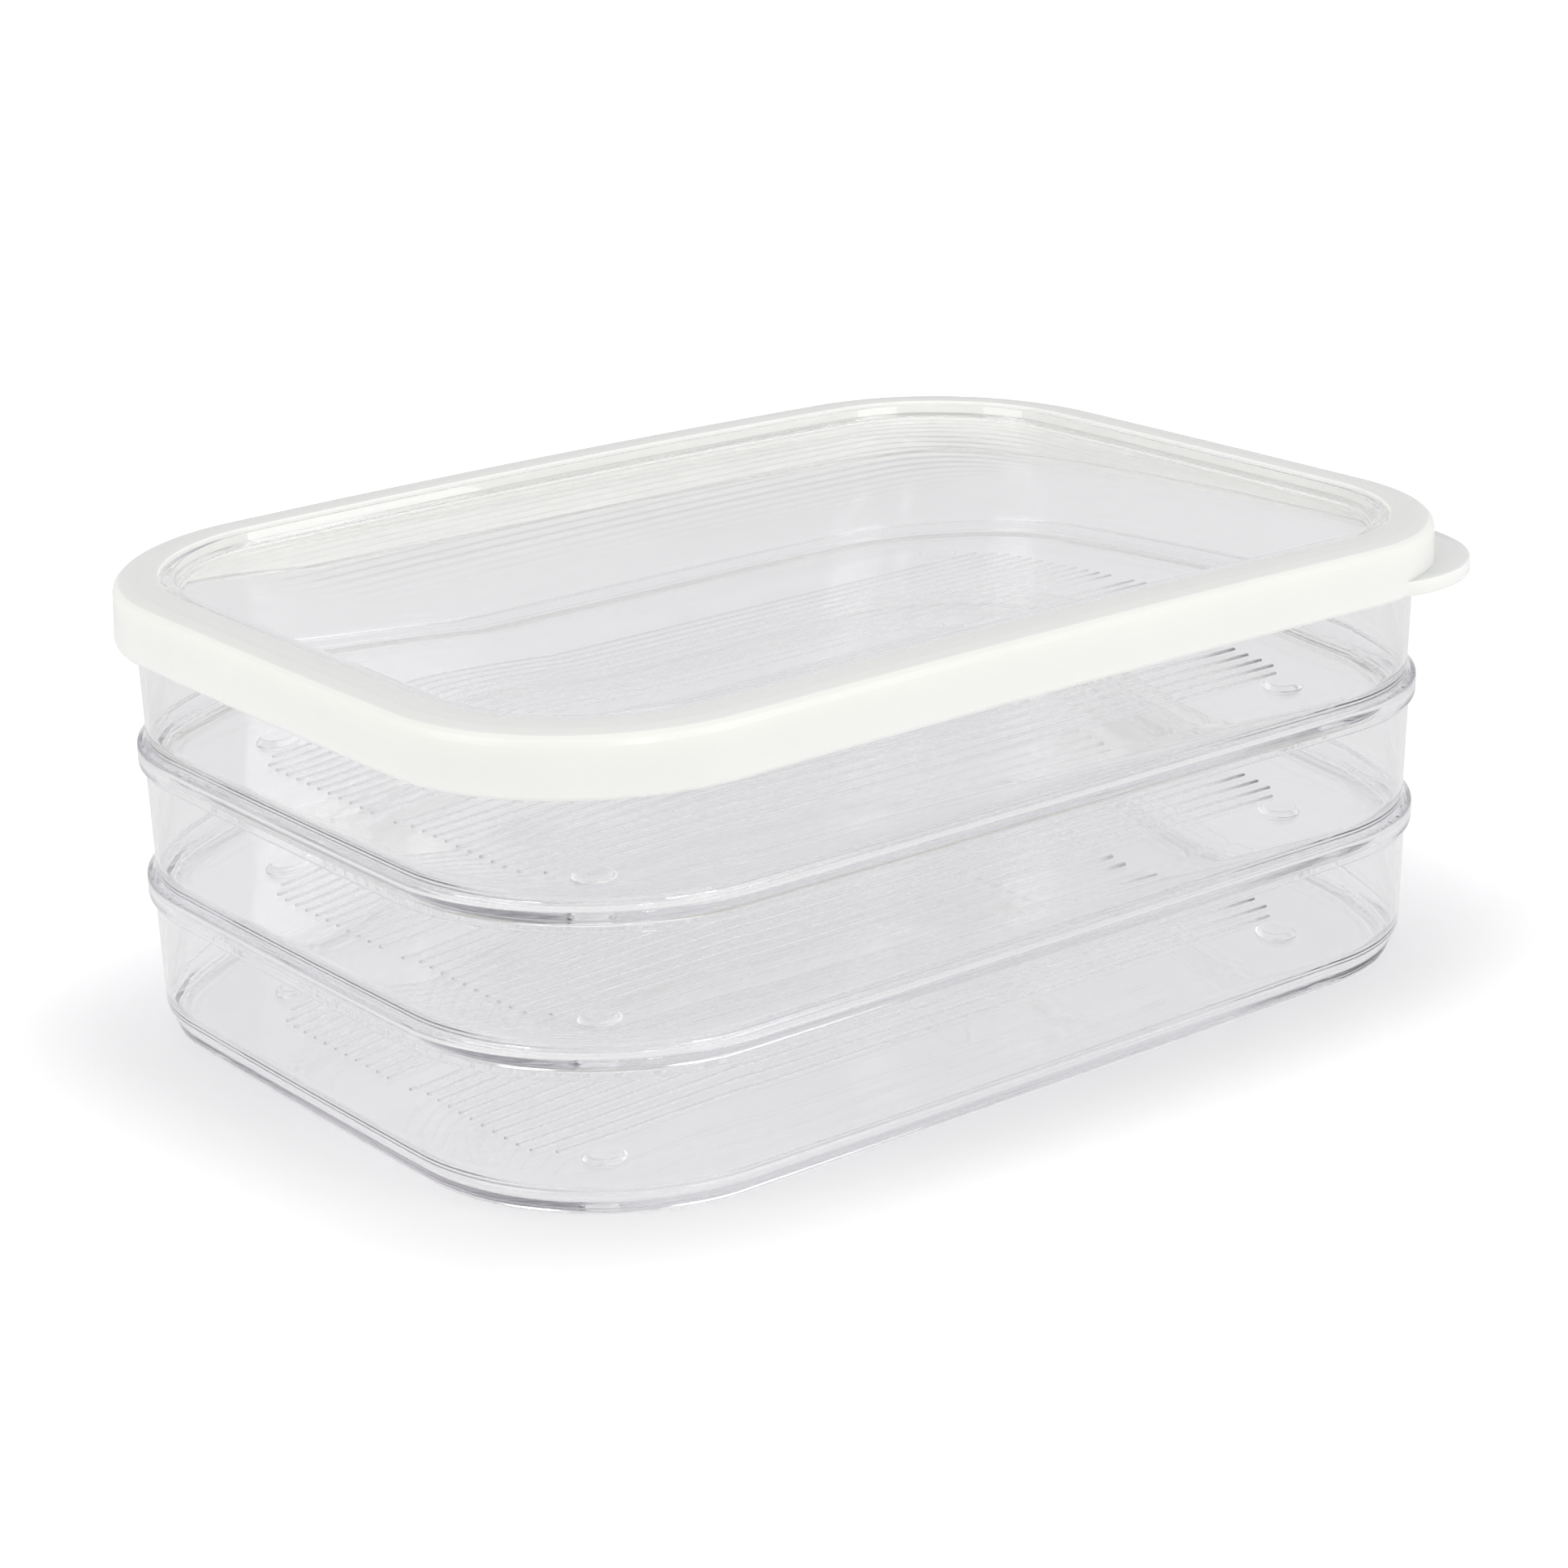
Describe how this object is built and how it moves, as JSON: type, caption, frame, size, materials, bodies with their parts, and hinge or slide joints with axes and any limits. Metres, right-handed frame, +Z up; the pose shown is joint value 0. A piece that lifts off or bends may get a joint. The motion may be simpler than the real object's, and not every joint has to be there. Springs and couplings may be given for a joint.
{
  "type": "fridge bin",
  "caption": "Stack of shallow clear food trays that nest rim to base, closed by a white-framed lid with a clear window and a pull tab.",
  "frame": {"origin": "centre of the stack on the surface it rests on", "axes": "+X along the stack's length, with the lid's pull tab at the +X, -Y corner; +Z up"},
  "size_m": [0.3247, 0.2308, 0.1223],
  "materials": {
    "clear_tray": "clear, glossy injection-moulded plastic",
    "white_frame": "milky white, soft satin plastic",
    "clear_window": "clear, glossy injection-moulded plastic"
  },
  "bodies": {
    "bottom_tray": {"tray_bottom": "clear_tray"},
    "middle_tray": {"tray_middle": "clear_tray"},
    "top_tray": {"tray_top": "clear_tray"},
    "lid": {"lid_frame": "white_frame", "lid_panel": "clear_window"}
  },
  "joints": [
    {"name": "middle_tray_lift", "type": "slide", "parent": "bottom_tray", "child": "middle_tray", "axis": [0, 0, 1], "range_m": [0, 0.06]},
    {"name": "top_tray_lift", "type": "slide", "parent": "middle_tray", "child": "top_tray", "axis": [0, 0, 1], "range_m": [0, 0.06]},
    {"name": "lid_lift", "type": "slide", "parent": "top_tray", "child": "lid", "axis": [0, 0, 1], "range_m": [0, 0.06]}
  ]
}
